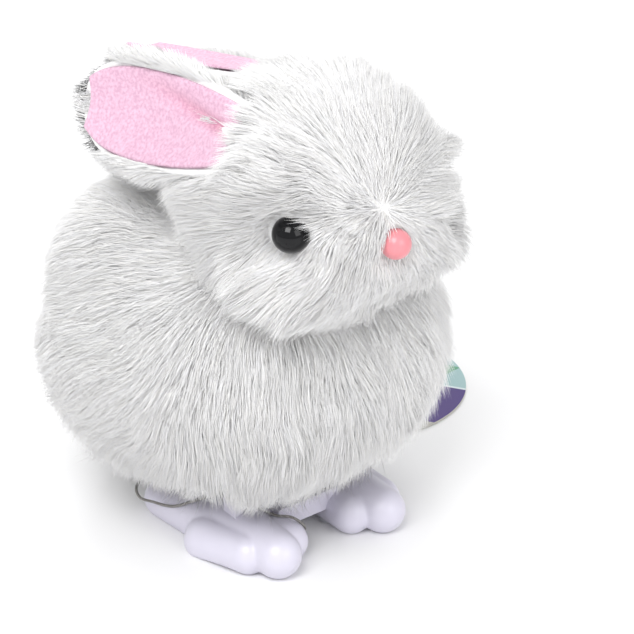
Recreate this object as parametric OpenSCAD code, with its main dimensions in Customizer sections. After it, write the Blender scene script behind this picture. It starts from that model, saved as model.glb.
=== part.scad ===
// Wind-up hopping plush rabbit. Millimetres, +Z up, the rabbit faces -Y and its right side is -X.
// The origin is on the ground, under the middle of the rabbit's bounding box.

/* [Plush body] */
// Half width of the furry body
body_half_width = 38; // [37:0.5:39]
// Half length of the furry body
body_half_length = 40; // [39:0.5:41]
// Half height of the furry body
body_half_height = 31; // [30:0.5:32]
// Height of the body's middle above the ground
body_z = 40; // [39.5:0.25:40.5]
// Radius of the round tail
tail_r = 10.5; // [9:0.5:11]

/* [Head] */
// Half width of the furry head
head_half_width = 28.5; // [27:0.5:30]
// Half length of the furry head
head_half_length = 27; // [26:0.5:28]
// Half height of the furry head
head_half_height = 25.5; // [24.5:0.5:26.5]
// Height of the head's middle above the ground
head_z = 82; // [81:0.5:83]
// Radius of an eye's black dome
eye_r = 3.6; // [3:0.2:4]

/* [Ears] */
// Length of an ear from its root inside the head to its tip
ear_length = 48; // [46:1:50]
// Greatest width of an ear
ear_width = 23; // [20:1:24]
// Thickness of the plush back of an ear
ear_thickness = 3.6; // [3:0.2:4.2]

/* [Feet] */
// Distance from the middle plane to the middle of a foot
foot_x = 13.5; // [13.25:0.25:13.75]
// Distance across the foot from the middle toe to the inner toe
toe_pitch = 5.5; // [5.2:0.1:5.8]
// Radius of a toe's round tip
toe_r = 4.3; // [4:0.1:4.4]

/* [Clockwork] */
// Gear module
gear_m = 0.5; // [0.48:0.01:0.5]
// Teeth of the great wheel
great_teeth = 40; // [38:2:40]
// Teeth of the second wheel
second_teeth = 32; // [32:1:32]
// Teeth of the crank wheel
crank_teeth = 28; // [26:1:28]
// Teeth of each pinion
pinion_teeth = 12; // [12:1:12]
// Throw of the crank pins
crank_throw = 2; // [1.6:0.1:2]
// Turns of the mainspring
spring_turns = 7; // [5:1:8]
// Radius of the winding knob
knob_r = 7.5; // [6.5:0.25:7.5]

/* [Swing tag] */
// Radius of the round card tag
tag_r = 27.5; // [20:0.5:28]
// Thickness of the card
tag_thickness = 0.6; // [0.4:0.1:1]
// Thickness of the elastic thread
elastic_d = 0.6; // [0.5:0.1:0.7]

/* [Hidden] */
$fn = 48;

// Smoothness of the soft shapes
soft_fn = 32;
// Gap between a soft skin and what it covers, and between a running shaft and its hole
skin_gap = 0.3;
running_gap = 0.05;
press_gap = 0.02;

// Middles of the body and the head, and the half sizes of their shells and linings
body_c = [0, -1, body_z];
body_r = [body_half_width, body_half_length, body_half_height];
shell_c = [0, -1, body_z - 0.5];
shell_r = [33, 35.5, 28];
shell_wall = 1.5;
head_c = [0, -24, head_z];
head_r = [head_half_width, head_half_length, head_half_height];
pile = 6;
stuffing_r = head_r - [pile, pile, pile];

// Middle of the tail, whose rear end is the rear end of the toy
tail_c = [0, 51 - tail_r, 34];

// Ears, right one first: root in the head, where the tip points, and the lean of the width from upright
ear_root = [[-17.5, -23.5, 94], [11.3, -9.2, 95.7]];
ear_tip = [[-22.5, 20.8, 90.5], [3, 38, 92]];
ear_lean = [25, -65];
lining_inset = 3;
lining_z = [0.1, 1];

// Eye and nose: where each sits and where it points
eye_c = [17, -38.2, 79.5];
eye_dir = [0.77, -0.62, -0.12];
nose_c = [0, -48.6, 76.3];
nose_dir = [0, -0.97, -0.24];
nose_r = 3;
stem_r = 0.9;
stem_length = 6;
washer_r = 3.4;
washer_t = 0.8;
washer_depth = 3.4;

// Neck post
neck_y = -17;
neck_r = 4.5;
neck_low_z = 57.3;
neck_top_z = 84;

// Foot hinge at the heels and the crank that works the lift arms, as [Y, Z]
pivot = [6, 14];
crank_axis = [-14.5, 28.5];
arbor_axis = [9, 33];
pin_r = 1.2;
pin_head_r = 1.9;
lug_r = 2.6;
lug_x = [7.3, 10.4];
foot_lug_x = [10.8, 14.6];
arm_x = [14.9, 16.9];
crank_x = [11.6, 13.2];
crank_pin_r = 1;
crank_pin_end = arm_x[0] - 0.3;
crank_disc_r = 3.7;

// Lobes of the right foot: front ball, its radius, rear ball, its radius
foot_lobes = [
  [[-foot_x - 4.3, -24.8, 3.7], toe_r, [-foot_x - 5.1, -13, 1.8], 5.6],
  [[-foot_x - 0.6, -30, toe_r + 0.1], toe_r + 0.6, [-foot_x, -13, 4.4], 6.2],
  [[-foot_x - 0.6 + toe_pitch, -26.2, 3.8], toe_r, [-foot_x + 2.9, -13, 3.4], 5.2],
  [[-foot_x - 1.5, -11, 3.6], 6, [-foot_x - 3.5, 5, 3.2], 4.6]];

// Crossbar between the feet, and the lift arms with the slot for the crank pin
yoke_low = [-8, -22.5, 4.6];
yoke_high = [8, -17.5, 9];
arm_y = [-19.5, -15.5];
arm_z = [4.2, 30];
slot_block_y = [-18.2, -7.8];
slot_block_z = [27.4, 33.3];
slot_y = [-15.3, -10.7];
slot_z = 30.35;
slot_r = crank_pin_r + 0.15;

// Screws under the foot, as [X, Y, height of the tip]: into the crossbar and into the lift arm
foot_screw_at = [[7, -20, 7.6], [15.9, -17.5, 8.6]];
foot_screw_head = [1.6, 1.15];
foot_screw_low = 0.3;

// Motor frame: plates from frame_x[0] to frame_x[1] on each side
frame_x = [9.5, 11];
frame_low_z = 19;
frame_outline = [[-13, frame_low_z], [10, frame_low_z], [20.5, 22.3], [21.5, 30], [22.3, 41],
  [19, 43.5], [4, 49], [-20, 48], [-23.3, 46], [-23, 36], [-20.5, 25], [-17, 20.5]];
pillars = [[-20.5, 45], [2, 46], [19.5, 40.5], [18.2, 25], [1.8, 21.3]];
pillar_r = 1.3;
screw_r = 0.8;
belly_low_z = 17.5;
belly_r = [17.2, 18.6];
tab_y = [-3, 6.5];
shell_bosses = [[20, 50], [-20, 54]];

// Gear train: the middle of each wheel, worked out from the pitch radii
great_r = gear_m * great_teeth / 2;
second_r = gear_m * second_teeth / 2;
crank_wheel_r = gear_m * crank_teeth / 2;
pinion_r = gear_m * pinion_teeth / 2;
second_axis = circle_meet(arbor_axis, great_r + pinion_r, crank_axis, second_r + pinion_r);
governor_dir = 100;
governor_axis = crank_axis + (crank_wheel_r + pinion_r) * [cos(governor_dir), sin(governor_dir)];
great_x = [6, 7.6];
second_x = [8, 9.1];
crank_wheel_x = [3, 4.4];
ratchet_x = [3.8, 5.4];
spring_x = [-8.5, 2.5];
flywheel_x = [-6, -3];
flywheel_r = 6;
arbor_r = 1.5;
knob_x = [33.3, 38];
arbor_end = 35.5;
knob_web = 36.6;

// Turn that brings each pinion into mesh with the wheel that drives it
second_turn = mesh_turn(great_teeth, 0, pinion_teeth, heading(arbor_axis, second_axis));
crank_turn = mesh_turn(second_teeth, 0, pinion_teeth, heading(second_axis, crank_axis));
governor_turn = mesh_turn(crank_teeth, 0, pinion_teeth, governor_dir);

// Ratchet and pawl, measured from the arbor
ratchet_teeth = 12;
ratchet_tip_r = 4.6;
ratchet_root_r = 3.6;
pawl_pivot = [6, 5.6];
pawl_post_r = 0.6;

// Tag and the route of its elastic thread
tag_c = [51, 24];
tag_hole = [30.5, 11.1];
knot_c = [30.5, 11.1, 1.6];
knot_r = 1;
elastic_route = [[30, 10.6, 1.6], [28, 9.3, 1.5], [26, 8.4, 0.6], [23.5, 8.8, 0.4], [20, 10.4, 0.4],
  [15, 11, 0.4], [9, 10.4, 0.4], [4, 7, 0.4], [1, 0, 0.4], [-0.5, -8, 0.4], [-1.4, -15, 0.6],
  [-1.9, -20, 1.4], [-2.8, -24.2, 3], [-4.1, -26, 5.7], [-6.7, -25.2, 8.3], [-9.4, -22.6, 8.7],
  [-11.9, -18.6, 10.4], [-13.2, -14.2, 11.1], [-15.8, -10.6, 10.3], [-19, -7.4, 8.6],
  [-20.8, -4.2, 6.7], [-21.4, -1, 5.6], [-22.8, 1.4, 5.9], [-24.6, 3.4, 6.6], [-24, 5.8, 7.6],
  [-21.2, 8, 7.8], [-17.4, 10.4, 6.4], [-14.4, 13, 2.8], [-10, 14.8, 0.5], [-4, 15.4, 0.4],
  [6, 15.4, 0.4], [16, 14.6, 0.4], [22, 13.4, 0.4], [24.6, 12.8, 0.7], [26.4, 12.3, 1.4],
  [28.2, 11.9, 1.6], [30, 11.5, 1.6]];
elastic_sides = 8;

fur_white = [0.95, 0.94, 0.92];
plastic_white = [0.85, 0.84, 0.9];
ear_pink = [0.93, 0.78, 0.87];
nose_pink = [0.93, 0.6, 0.64];
steel = [0.7, 0.71, 0.73];
brass = [0.79, 0.66, 0.36];

// ---- Functions ----

function unit(v) = v / norm(v);
function heading(a, b) = atan2(b[1] - a[1], b[0] - a[0]);

// Point at distance ra from a and rb from b, on the upper side of the line a-b
function circle_meet(a, ra, b, rb) =
  let(d = norm(b - a), u = (b - a) / d, s = (ra * ra - rb * rb + d * d) / (2 * d))
  a + s * u + sqrt(max(0, ra * ra - s * s)) * [u[1], -u[0]];

// Turn of a driven gear so that its gap faces the driver's tooth along the heading
function mesh_turn(driver, driver_turn, driven, dir) =
  dir + 180 - (180 - driver * (dir - driver_turn)) / driven;

function polar(r, a) = [r * cos(a), r * sin(a)];
function ellipse_points(rx, ry, n) = [for (i = [0 : n - 1]) [rx * cos(360 * i / n), ry * sin(360 * i / n)]];

// Involute gear outline; each tooth has its own four points per flank
function involute(a) = tan(a) * 180 / PI - a;
function flank_half(r, pitch_r, base_r, half) =
  half + involute(20) - involute(acos(min(1, base_r / r)));
function gear_points(teeth, m) =
  let(pitch_r = m * teeth / 2, base_r = pitch_r * cos(20), tip = pitch_r + 0.75 * m, root = pitch_r - m,
      half = (PI * m / 2 - 0.12) / 2 / pitch_r * 180 / PI,
      steps = [root, max(root + 0.02, base_r + 0.01), (pitch_r + base_r) / 2 + 0.05, tip])
  [for (i = [0 : teeth - 1])
    for (k = [0 : 7])
      let(r = steps[k < 4 ? k : 7 - k], side = k < 4 ? -1 : 1)
      polar(r, 360 * i / teeth + side * flank_half(max(r, base_r + 0.001), pitch_r, base_r, half))];

// Saw teeth: each has a radial face and a sloping back
function ratchet_points() =
  [for (i = [0 : ratchet_teeth - 1])
    for (r = [ratchet_root_r, ratchet_tip_r]) polar(r, 90 + 360 * i / ratchet_teeth)];

// Spiral strip between two radii; the last point lies near the pillar that holds the outer end
function spiral_r(t, inner, outer) = inner + (outer - inner) * t;
function spiral_points(inner, outer, turns, thick, start) =
  let(n = turns * 24)
  concat([for (i = [0 : n]) polar(spiral_r(i / n, inner, outer), start + 15 * i)],
         [for (i = [n : -1 : 0]) polar(spiral_r(i / n, inner, outer) + thick, start + 15 * i)]);

// Leaf outline of an ear: x runs from root to tip, y is the half width on each side
function ear_half(t) = pow(sin(180 * pow(t, 0.85)), 0.62) * 0.5;
function ear_points(length, width, inset, n) =
  let(l = length - 2 * inset, w = width - 2 * inset)
  concat([for (i = [0 : n]) [inset + l * i / n, w * ear_half(0.1 + 0.9 * i / n)]],
         [for (i = [n - 1 : -1 : 0]) [inset + l * i / n, -w * ear_half(0.1 + 0.9 * i / n)]]);

// Tube swept along a route: rings of points square to the way
function tangent(p, i) = unit(p[min(i + 1, len(p) - 1)] - p[max(i - 1, 0)]);
function ring(c, t, r, n) =
  let(a = unit(cross(t, abs(t[2]) > 0.9 ? [1, 0, 0] : [0, 0, 1])), b = cross(a, t))
  [for (k = [0 : n - 1]) c + r * (cos(360 * k / n) * a + sin(360 * k / n) * b)];
function tube_faces(rings, n) = concat(
  [[for (k = [0 : n - 1]) k]],
  [for (i = [0 : rings - 2]) for (k = [0 : n - 1])
    [i * n + k, (i + 1) * n + k, (i + 1) * n + (k + 1) % n, i * n + (k + 1) % n]],
  [[for (k = [n - 1 : -1 : 0]) (rings - 1) * n + k]]);

// Smooth points between the route's own points
function bend(p, i, t) =
  let(a = p[max(i - 1, 0)], b = p[i], c = p[i + 1], d = p[min(i + 2, len(p) - 1)])
  0.5 * (2 * b + (c - a) * t + (2 * a - 5 * b + 4 * c - d) * t * t + (3 * b - a - 3 * c + d) * t * t * t);
function smooth_route(p) =
  concat([for (i = [0 : len(p) - 2]) for (t = [0, 0.5]) bend(p, i, t)], [p[len(p) - 1]]);

// ---- Helpers ----

module ellipsoid(c, r, grow = 0) {
  translate(c)
    resize(2 * (r + [grow, grow, grow]))
      sphere(r = 10, $fn = soft_fn);
}

// Box between two corners
module block(low, high) {
  translate(low)
    cube(high - low);
}

// Draws a flat outline square to X: its x becomes Y and its y becomes Z
module across(x, at) {
  translate([x[0], at[0], at[1]])
    rotate([90, 0, 90])
      linear_extrude(height = x[1] - x[0])
        children();
}

module rod(x, at, r) {
  translate([x[0], at[0], at[1]])
    rotate([90, 0, 90])
      cylinder(r = r, h = x[1] - x[0]);
}

// Points a shape that stands on Z along a direction
module point_along(c, dir) {
  d = unit(dir);
  translate(c)
    rotate([0, acos(d[2]), atan2(d[1], d[0])])
      children();
}

// Draws the right-hand piece as given and the left-hand one mirrored
module for_side(side) {
  if (side < 0)
    children();
  else
    mirror([1, 0, 0])
      children();
}

module gear(x, at, teeth, bore, turn, holes = 0) {
  across(x, at)
    rotate(turn)
      difference() {
        polygon(gear_points(teeth, gear_m));
        if (bore > 0)
          circle(r = bore);
        if (holes > 0)
          for (k = [0 : holes - 1])
            rotate(360 * k / holes)
              translate([gear_m * teeth * 0.28, 0])
                circle(r = gear_m * teeth * 0.09);
      }
}

// ---- Plush ----

module body_skin() {
  color(fur_white)
    difference() {
      ellipsoid(body_c, body_r);
      ellipsoid(shell_c, shell_r, skin_gap);
      ellipsoid(head_c, stuffing_r, 0.4);
      translate([0, neck_y, neck_low_z])
        cylinder(r = neck_r + 0.4, h = 40);
      block([-24, -23.5, 0], [24, 13, 24]);
      rod([30, 45], arbor_axis, knob_r + 1.2);
      rod([20, 45], arbor_axis, 2.4);
    }
}

// Turns to an eye: Z points out of the face
module at_eye(side) {
  point_along([side * eye_c[0], eye_c[1], eye_c[2]], [side * eye_dir[0], eye_dir[1], eye_dir[2]])
    children();
}

// Room for the eyes, the nose, their stems and washers
module face_holes() {
  depth = 9;
  for (side = [-1, 1])
    at_eye(side)
      translate([0, 0, -depth])
        cylinder(r = eye_r + 0.5, h = 24);
  point_along(nose_c, nose_dir)
    translate([0, 0, -depth])
      cylinder(r = nose_r + 0.4, h = 20);
}

module head_skin() {
  color(fur_white)
    difference() {
      ellipsoid(head_c, head_r);
      ellipsoid(head_c, stuffing_r, 0.2);
      ellipsoid(body_c, body_r, 0.15);
      translate([0, neck_y, neck_low_z])
        cylinder(r = neck_r + 0.4, h = 30);
      face_holes();
    }
}

module head_stuffing() {
  color([0.97, 0.97, 0.97])
    difference() {
      ellipsoid(head_c, stuffing_r);
      ellipsoid(shell_c, shell_r, 0.4);
      translate([0, neck_y, neck_low_z - 5])
        cylinder(r = neck_r + 0.1, h = neck_top_z - neck_low_z + 5.2);
      face_holes();
    }
}

module tail() {
  color(fur_white)
    difference() {
      translate(tail_c)
        sphere(r = tail_r, $fn = soft_fn);
      ellipsoid(body_c, body_r, 0.15);
    }
}

// Places an ear: X runs along it from the root, Y across it and Z out of its lined side
module ear_frame(side) {
  k = side < 0 ? 0 : 1;
  root = ear_root[k];
  d = unit(ear_tip[k] - root);
  w0 = [sin(ear_lean[k]), 0, cos(ear_lean[k])];
  w = unit(w0 - (w0 * d) * d);
  n = cross(d, w) * (side < 0 ? -1 : 1);
  y = cross(n, d);
  rows = [for (i = [0 : 2]) [d[i], y[i], n[i], root[i]]];
  multmatrix(rows)
    children();
}

module ear(side) {
  color(fur_white)
    difference() {
      ear_frame(side)
        translate([0, 0, -ear_thickness])
          linear_extrude(height = ear_thickness)
            polygon(ear_points(ear_length, ear_width, 0, 12));
      ellipsoid(head_c, head_r, 0.15);
      ellipsoid(body_c, body_r, 0.15);
    }
}

module ear_lining(side) {
  color(ear_pink)
    difference() {
      ear_frame(side)
        translate([0, 0, lining_z[0]])
          linear_extrude(height = lining_z[1] - lining_z[0])
            polygon(ear_points(ear_length, ear_width, lining_inset, 12));
      ellipsoid(head_c, head_r, 0.15);
      ellipsoid(body_c, body_r, 0.15);
    }
}

// Black dome on a stem that goes through the cloth
module eye(side) {
  color([0.05, 0.05, 0.06])
    at_eye(side) {
      rotate_extrude()
        intersection() {
          circle(r = eye_r);
          translate([0, -0.6])
            square([eye_r, eye_r + 1]);
        }
      translate([0, 0, -stem_length])
        cylinder(r = stem_r, h = stem_length + 0.2);
    }
}

module washer() {
  translate([0, 0, -washer_depth])
    difference() {
      cylinder(r = washer_r, h = washer_t);
      translate([0, 0, -1])
        cylinder(r = stem_r + press_gap, h = washer_t + 2);
    }
}

module eye_washers() {
  color([0.9, 0.9, 0.9])
    for (side = [-1, 1])
      at_eye(side)
        washer();
}

module nose() {
  color(nose_pink)
    point_along(nose_c, nose_dir) {
      sphere(r = nose_r);
      translate([0, 0, -stem_length])
        cylinder(r = stem_r, h = stem_length);
    }
}

module nose_washer() {
  color([0.9, 0.9, 0.9])
    point_along(nose_c - 0.4 * unit(nose_dir), nose_dir)
      washer();
}

// ---- Feet ----

// Long foot with three toes, hinge lug at the heel, pockets for the crossbar and the lift arm
module foot(side) {
  lug = [-foot_lug_x[1], -foot_lug_x[0]];
  fit = 0.1;
  for_side(side)
    color(plastic_white)
      difference() {
        union() {
          intersection() {
            for (lobe = foot_lobes)
              hull() {
                translate(lobe[0])
                  sphere(r = lobe[1], $fn = soft_fn);
                translate(lobe[2])
                  sphere(r = lobe[3], $fn = soft_fn);
              }
            block([-40, -40, 0], [0, 20, 20]);
          }
          rod(lug, pivot, lug_r);
          block([lug[0], pivot[0] - lug_r, 5], [lug[1], pivot[0] + lug_r, pivot[1]]);
        }
        rod([-20, -5], pivot, pin_r + running_gap);
        block(yoke_low - [fit, fit, fit], [0, yoke_high[1] + fit, yoke_high[2] + fit]);
        block([-arm_x[1] - fit, arm_y[0] - fit, arm_z[0] - 0.2], [-arm_x[0] + fit, arm_y[1] + fit, 20]);
        for (p = foot_screw_at)
          translate([-p[0], p[1], -1]) {
            cylinder(r = screw_r + 0.1, h = 8);
            cylinder(r = foot_screw_head[0] + 0.2, h = 2.5);
          }
      }
}

// Crossbar that ties the two feet
module foot_yoke() {
  hole = foot_screw_at[0];
  color(plastic_white)
    difference() {
      block(yoke_low, yoke_high);
      for (side = [-1, 1])
        translate([side * hole[0], hole[1], yoke_low[2] - 0.6])
          cylinder(r = screw_r + press_gap, h = 4);
    }
}

// Upright link from a foot to the slot that the crank pin works in
module lift_arm(side) {
  hole = foot_screw_at[1];
  for_side(side)
    color(plastic_white)
      difference() {
        union() {
          block([-arm_x[1], arm_y[0], arm_z[0]], [-arm_x[0], arm_y[1], arm_z[1]]);
          block([-arm_x[1], slot_block_y[0], slot_block_z[0]], [-arm_x[0], slot_block_y[1], slot_block_z[1]]);
        }
        for (y = slot_y)
          rod([-20, -10], [y, slot_z], slot_r);
        block([-20, slot_y[0], slot_z - slot_r], [-10, slot_y[1], slot_z + slot_r]);
        translate([-hole[0], hole[1], arm_z[0] - 0.2])
          cylinder(r = screw_r - 0.05, h = 5);
      }
}

module foot_screws() {
  color(steel)
    for (side = [-1, 1])
      for (p = foot_screw_at)
        translate([side * p[0], p[1], foot_screw_low]) {
          cylinder(r = foot_screw_head[0], h = foot_screw_head[1]);
          cylinder(r = screw_r - 0.1, h = p[2] - foot_screw_low);
        }
}

// ---- Plastic shell ----

module shell_half(side) {
  for_side(side)
    color(plastic_white)
      difference() {
        union() {
          difference() {
            ellipsoid(shell_c, shell_r);
            ellipsoid(shell_c, shell_r, -shell_wall);
          }
          for (b = shell_bosses)
            intersection() {
              rod([-25, 0], b, 3);
              ellipsoid(shell_c, shell_r, -0.5);
            }
        }
        block([0, -60, 0], [60, 60, 100]);
        block([-60, -60, 0], [60, 60, belly_low_z]);
        block([-17.6, -24, 0], [-14.2, -6, 31.5]);
        translate([0, neck_y, 50])
          cylinder(r = neck_r + 0.1, h = 30);
        if (side < 0)
          for (b = shell_bosses)
            rod([-8, 1], b, screw_r + 0.05);
        if (side > 0) {
          for (b = shell_bosses) {
            rod([-6, 1], b, screw_r + 0.2);
            rod([-30, -5], b, 2.1);
          }
          rod([-40, -10], arbor_axis, 2.3);
        }
      }
}

module shell_screws() {
  color(steel)
    for (b = shell_bosses) {
      rod([-7, 5], b, screw_r);
      rod([5, 6.5], b, 1.9);
    }
}

module neck_post() {
  color(plastic_white) {
    translate([0, neck_y, neck_low_z])
      cylinder(r = neck_r, h = neck_top_z - neck_low_z);
    translate([0, neck_y, neck_low_z])
      cylinder(r = neck_r + 1.8, h = 1.5);
  }
}

// Plate that closes the belly, with the lugs that hold the hinge pin
module belly_plate() {
  color(plastic_white)
    difference() {
      union() {
        translate([0, -1, belly_low_z])
          linear_extrude(height = frame_low_z - belly_low_z)
            polygon(ellipse_points(belly_r[0], belly_r[1], 48));
        for (side = [-1, 1])
          for_side(side) {
            rod([-lug_x[1], -lug_x[0]], pivot, lug_r);
            block([-lug_x[1], pivot[0] - lug_r, pivot[1]], [-lug_x[0], pivot[0] + lug_r, belly_low_z + 0.5]);
          }
      }
      rod([-12, 12], pivot, pin_r + press_gap);
      for (side = [-1, 1]) {
        block([side * 16 - 1.8, -24, 0], [side * 16 + 1.8, -6, 30]);
        for (y = tab_y)
          translate([side * 13.2, y, 0])
            cylinder(r = screw_r + press_gap, h = 30);
      }
    }
}

module pivot_pin() {
  color(steel) {
    rod([-15.8, 15.8], pivot, pin_r);
    rod([-16.4, -15.4], pivot, pin_head_r);
    rod([15.4, 16.4], pivot, pin_head_r);
  }
}

// ---- Motor frame ----

module frame_plate(side) {
  for_side(side)
    color(steel)
      difference() {
        union() {
          across([-frame_x[1], -frame_x[0]], [0, 0])
            polygon(frame_outline);
          for (y = tab_y)
            block([-15, y - 2.2, frame_low_z], [-frame_x[0], y + 2.2, frame_low_z + 1.2]);
        }
        rod([-20, 0], arbor_axis, arbor_r + running_gap);
        rod([-20, 0], second_axis, 0.8 + running_gap);
        rod([-20, 0], crank_axis, 1.1 + running_gap);
        rod([-20, 0], governor_axis, 0.6 + running_gap);
        for (p = pillars)
          rod([-20, 0], p, screw_r + 0.1);
        for (y = tab_y)
          translate([-13.2, y, 0])
            cylinder(r = screw_r + 0.1, h = 30);
      }
}

module frame_pillars() {
  color(brass)
    for (p = pillars)
      difference() {
        rod([-frame_x[0], frame_x[0]], p, pillar_r);
        rod([-frame_x[0] - 1, -5], p, screw_r + press_gap);
        rod([5, frame_x[0] + 1], p, screw_r + press_gap);
      }
}

module frame_screws() {
  color(steel)
    for (side = [-1, 1])
      for_side(side)
        for (p = pillars) {
          rod([-frame_x[1], -5.5], p, screw_r);
          rod([-frame_x[1] - 0.9, -frame_x[1]], p, 1.5);
        }
}

module motor_screws() {
  color(steel)
    for (side = [-1, 1])
      for (y = tab_y)
        translate([side * 13.2, y, belly_low_z]) {
          cylinder(r = screw_r, h = 3);
          translate([0, 0, frame_low_z + 1.2 - belly_low_z])
            cylinder(r = 1.5, h = 0.9);
        }
}

// ---- Clockwork ----

module mainspring() {
  color([0.55, 0.57, 0.62])
    across(spring_x, arbor_axis)
      polygon(spiral_points(arbor_r + 0.4, 10.4, spring_turns, 0.35, 318));
}

module winding_arbor() {
  color(steel)
    difference() {
      rod([-frame_x[1] - 0.8, arbor_end], arbor_axis, arbor_r);
      rod([28, 37], arbor_axis, screw_r + 0.05);
    }
}

module ratchet_wheel() {
  color(steel)
    across(ratchet_x, arbor_axis)
      difference() {
        polygon(ratchet_points());
        circle(r = arbor_r + press_gap);
      }
}

// Round knob with finger ribs
module winding_knob() {
  ribs = 16;
  color([0.93, 0.93, 0.95])
    difference() {
      union() {
        rod(knob_x, arbor_axis, knob_r - 0.6);
        for (k = [0 : ribs - 1])
          rod([knob_x[0], knob_x[1] - 0.8], arbor_axis + polar(knob_r - 0.9, 360 * k / ribs), 0.9);
      }
      rod([knob_x[0] - 1, arbor_end], arbor_axis, arbor_r + press_gap);
      rod([arbor_end - 1, knob_web + 1], arbor_axis, screw_r + 0.1);
      rod([knob_web, knob_x[1] + 1], arbor_axis, 2.2);
    }
}

module knob_screw() {
  color(steel) {
    rod([29, knob_web], arbor_axis, screw_r);
    rod([knob_web, knob_web + 1.1], arbor_axis, 1.9);
  }
}

// Great wheel runs free on the arbor and carries the pawl's post
module great_wheel() {
  color(brass) {
    gear(great_x, arbor_axis, great_teeth, arbor_r + running_gap, 0);
    rod([ratchet_x[0] - 0.2, great_x[0]], arbor_axis + pawl_pivot, pawl_post_r);
  }
}

module pawl() {
  color(steel)
    across(ratchet_x, arbor_axis)
      difference() {
        union() {
          polygon([[0.33, 3.85], [4.6, 4.75], [6.3, 4.4], [7.2, 5.8], [6, 6.8], [4.2, 6.5], [0.1, 4.95]]);
          translate(pawl_pivot)
            circle(r = 1.3);
        }
        translate(pawl_pivot)
          circle(r = pawl_post_r + running_gap);
      }
}

// Leaf that bears on the pawl's back
module click_spring() {
  color([0.55, 0.57, 0.62])
    across([ratchet_x[0] + 0.2, great_x[0]], arbor_axis)
      polygon([[-6.4, 3.6], [-5.4, 3.6], [-5.2, 5.6], [-3.6, 6.9], [1, 7.1], [1, 7.4],
        [-3.8, 7.3], [-5.8, 6]]);
}

module second_arbor() {
  color(steel) {
    rod([-9.2, 9.3], second_axis, 1);
    rod([-10.8, 10.8], second_axis, 0.8);
    gear([5.8, 7.9], second_axis, pinion_teeth, 0, second_turn);
  }
}

module second_wheel() {
  color(brass)
    gear(second_x, second_axis, second_teeth, 1 + press_gap, 0, 5);
}

module crank_shaft() {
  color(steel) {
    rod([-crank_x[1], crank_x[1]], crank_axis, 1.1);
    gear([7.9, 9.3], crank_axis, pinion_teeth, 0, crank_turn);
  }
}

module crank_wheel() {
  color(brass)
    gear(crank_wheel_x, crank_axis, crank_teeth, 1.1 + press_gap, 0, 5);
}

// Disc with the pin that works a lift arm; the pin stands at the top
module crank(side) {
  for_side(side)
    color([0.93, 0.93, 0.95]) {
      difference() {
        rod([-crank_x[1], -crank_x[0]], crank_axis, crank_disc_r);
        rod([-20, 0], crank_axis, 1.1 + press_gap);
      }
      rod([-crank_pin_end, -crank_x[1] + 0.1], crank_axis + [0, crank_throw], crank_pin_r);
    }
}

module governor_arbor() {
  color(steel) {
    rod([-9.2, 9.3], governor_axis, 0.9);
    rod([-10.8, 10.8], governor_axis, 0.6);
    gear([2.7, 4.7], governor_axis, pinion_teeth, 0, governor_turn);
  }
}

module flywheel() {
  color(brass)
    across(flywheel_x, governor_axis)
      difference() {
        circle(r = flywheel_r);
        circle(r = 0.9 + press_gap);
        for (k = [0 : 2])
          rotate(120 * k)
            translate([3.4, 0])
              circle(r = 1.2);
      }
}

// ---- Swing tag ----

module swing_tag() {
  color([0.6, 0.75, 0.74])
    difference() {
      translate([tag_c[0], tag_c[1], 0])
        cylinder(r = tag_r, h = tag_thickness, $fn = 96);
      translate([tag_hole[0], tag_hole[1], -1])
        cylinder(r = 1.6, h = 3);
    }
}

module tag_elastic() {
  way = smooth_route(elastic_route);
  color([0.6, 0.6, 0.6])
    polyhedron(
      points = [for (i = [0 : len(way) - 1])
        each ring(way[i], tangent(way, i), elastic_d / 2, elastic_sides)],
      faces = tube_faces(len(way), elastic_sides));
}

module tag_knot() {
  color([0.6, 0.6, 0.6])
    translate(knot_c)
      sphere(r = knot_r);
}

body_skin();
head_skin();
head_stuffing();
tail();
ear(-1);  // ear_right
ear(1);  // ear_left
ear_lining(-1);  // ear_lining_right
ear_lining(1);  // ear_lining_left
eye(-1);  // eye_right
eye(1);  // eye_left
eye_washers();
nose();
nose_washer();
foot(-1);  // foot_right
foot(1);  // foot_left
foot_yoke();
lift_arm(-1);  // lift_arm_right
lift_arm(1);  // lift_arm_left
foot_screws();
shell_half(-1);  // body_shell_right
shell_half(1);  // body_shell_left
shell_screws();
neck_post();
belly_plate();
pivot_pin();
frame_plate(-1);  // frame_plate_right
frame_plate(1);  // frame_plate_left
frame_pillars();
frame_screws();
motor_screws();
mainspring();
winding_arbor();
ratchet_wheel();
winding_knob();
knob_screw();
great_wheel();
pawl();
click_spring();
second_arbor();
second_wheel();
crank_shaft();
crank_wheel();
crank(-1);  // crank_right
crank(1);  // crank_left
governor_arbor();
flywheel();
swing_tag();
tag_elastic();
tag_knot();
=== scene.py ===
"""Wind-up hopping plush rabbit: fur, velour ears, moulded feet and swing tag around the CAD frame."""

import math

import bmesh
import bpy
import numpy as np
from mathutils import Matrix, Vector
from mathutils.kdtree import KDTree


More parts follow.
